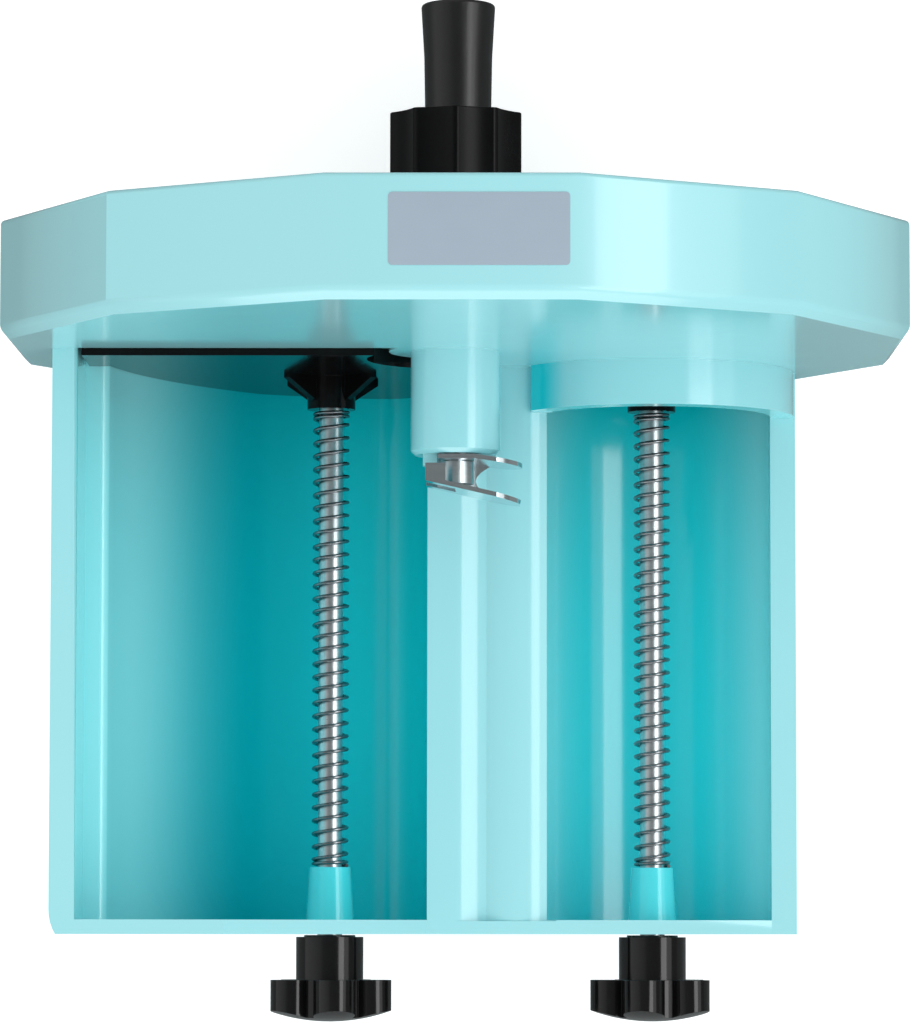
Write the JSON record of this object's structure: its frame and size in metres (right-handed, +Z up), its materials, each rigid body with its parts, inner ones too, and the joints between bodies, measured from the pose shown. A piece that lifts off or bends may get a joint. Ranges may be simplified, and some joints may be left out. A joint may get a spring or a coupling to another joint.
{
  "type": "manual food slicer",
  "caption": "Hand cranked food slicer head: twelve-sided blade tray, wide and round feed troughs with sprung pushers, crank grip and thickness knob.",
  "frame": {"origin": "centre of the four stand bolts, on the plane of the feet", "axes": "+Z up in use, +Y along the shaft towards the crank, +X towards the round trough"},
  "size_m": [0.24, 0.2927, 0.24],
  "materials": {
    "turquoise_plastic": "glossy moulded plastic",
    "black_plastic": "semi-gloss moulded plastic",
    "turned_steel": "bright turned",
    "spring_steel": "bright drawn wire",
    "stainless_clip": "rolled stainless sheet",
    "blade_steel": "ground stainless",
    "steel_screws": "plated",
    "black_steel": "black oxide",
    "brass_inserts": "turned",
    "bush_plastic": "plain bearing plastic",
    "wheel_plastic": "moulded"
  },
  "bodies": {
    "frame": {"blade_housing": "turquoise_plastic", "feed_chute": "turquoise_plastic", "housing_screws": "steel_screws", "stand_inserts": "brass_inserts", "front_bush": "bush_plastic", "rear_bush": "bush_plastic", "large_pusher_spring": "spring_steel", "small_pusher_spring": "spring_steel"},
    "cutter": {"shaft": "turned_steel", "cutter_wheel": "wheel_plastic", "drive_pin": "turned_steel", "blade_a": "blade_steel", "blade_b": "blade_steel", "blade_screws": "steel_screws", "crank_bar": "turquoise_plastic", "bar_screws": "steel_screws", "knob_washer": "steel_screws", "knob_screw": "steel_screws", "grip_spindle": "black_steel"},
    "grip": {"crank_grip": "black_plastic"},
    "adjuster": {"adjust_knob": "black_plastic", "knob_nut": "brass_inserts"},
    "slice_stop": {"thickness_plate": "turquoise_plastic"},
    "large_pusher": {"large_pusher_plate": "black_plastic", "large_pusher_rod": "turned_steel", "large_pusher_knob": "black_plastic"},
    "small_pusher": {"small_pusher_plate": "black_plastic", "small_pusher_rod": "turned_steel", "small_pusher_knob": "black_plastic"},
    "clip": {"shaft_clip": "stainless_clip"}
  },
  "joints": [
    {"name": "crank_spin", "type": "hinge", "parent": "frame", "child": "cutter", "pos_m": [0, 0.075, 0.12], "axis": [0, 1, 0], "continuous": true},
    {"name": "grip_spin", "type": "hinge", "parent": "cutter", "child": "grip", "pos_m": [0, 0.14, 0.04], "axis": [0, 1, 0], "continuous": true},
    {"name": "thickness_turn", "type": "hinge", "parent": "cutter", "child": "adjuster", "pos_m": [0, 0.12, 0.12], "axis": [0, 1, 0], "range_deg": [0, 330]},
    {"name": "thickness_slide", "type": "slide", "parent": "cutter", "child": "slice_stop", "axis": [0, 1, 0], "range_m": [0, 0.006]},
    {"name": "large_pusher_pull", "type": "slide", "parent": "frame", "child": "large_pusher", "axis": [0, -1, 0], "range_m": [0, 0.08], "stiffness_N_per_m": 90, "springref_m": -0.06, "deforming": ["large_pusher_spring"]},
    {"name": "small_pusher_pull", "type": "slide", "parent": "frame", "child": "small_pusher", "axis": [0, -1, 0], "range_m": [0, 0.08], "stiffness_N_per_m": 90, "springref_m": -0.06, "deforming": ["small_pusher_spring"]},
    {"name": "clip_pull", "type": "slide", "parent": "frame", "child": "clip", "axis": [1, 0, 0], "range_m": [0, 0.03]}
  ],
  "couplings": [
    {"joint": "thickness_turn", "follows": "thickness_slide", "rad_per_m": 959.93}
  ]
}
